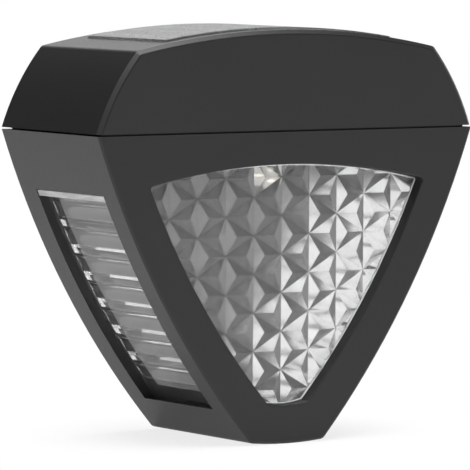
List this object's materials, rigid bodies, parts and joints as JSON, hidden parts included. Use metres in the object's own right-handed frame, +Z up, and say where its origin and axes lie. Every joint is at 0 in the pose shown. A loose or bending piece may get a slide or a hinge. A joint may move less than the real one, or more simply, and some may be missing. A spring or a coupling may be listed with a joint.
{
  "type": "solar wall light",
  "caption": "Tapered black wall light with a star-faceted front lens, ribbed side lenses and a lift-off cap that holds a solar panel, battery, diode and slide switch.",
  "frame": {"origin": "centre of the keyhole's entry on the flat back face that lies on the wall", "axes": "+X to the lamp's right seen from the front, +Y into the wall, +Z up"},
  "size_m": [0.1178, 0.047, 0.1083],
  "materials": {
    "black_plastic": "fine-grained moulded black plastic",
    "clear_lens": "clear polished moulding",
    "screw_steel": "zinc-plated steel",
    "foam_tape": "white foam tape",
    "panel_board": "white laminate",
    "silicon": "dark blue silicon",
    "clear_resin": "clear cast resin",
    "circuit_board": "green laminate",
    "chip_black": "black epoxy",
    "inductor_green": "green lacquer",
    "led_resin": "clear warm-white diode",
    "tinned_wire": "tinned steel",
    "knob_black": "black nylon",
    "cell_sleeve": "shrink sleeve",
    "contact_metal": "nickel plate",
    "wire_red": "soft insulation",
    "wire_black": "soft insulation"
  },
  "bodies": {
    "lamp": {"lamp_housing": "black_plastic", "front_lens": "clear_lens", "left_lens": "clear_lens", "right_lens": "clear_lens", "back_cover": "black_plastic", "back_screws": "screw_steel"},
    "cap": {"cap_shell": "black_plastic", "panel_bed": "foam_tape", "panel_board": "panel_board", "solar_cells": "silicon", "panel_cover": "clear_resin", "cap_tray": "black_plastic", "tray_screws": "screw_steel", "circuit_board": "circuit_board", "board_screws": "screw_steel", "driver_chip": "chip_black", "inductor": "inductor_green", "led_lamp": "led_resin", "led_leads": "tinned_wire", "switch_case": "tinned_wire", "battery_cell": "cell_sleeve", "contact_plate": "contact_metal", "contact_leaf": "contact_metal", "red_leads": "wire_red", "black_leads": "wire_black"},
    "switch": {"switch_slider": "knob_black"}
  },
  "joints": [
    {"name": "cap_lift", "type": "slide", "parent": "lamp", "child": "cap", "axis": [0, 0, 1], "range_m": [0, 0.03]},
    {"name": "switch_slide", "type": "slide", "parent": "cap", "child": "switch", "axis": [1, 0, 0], "range_m": [0, 0.002]}
  ]
}
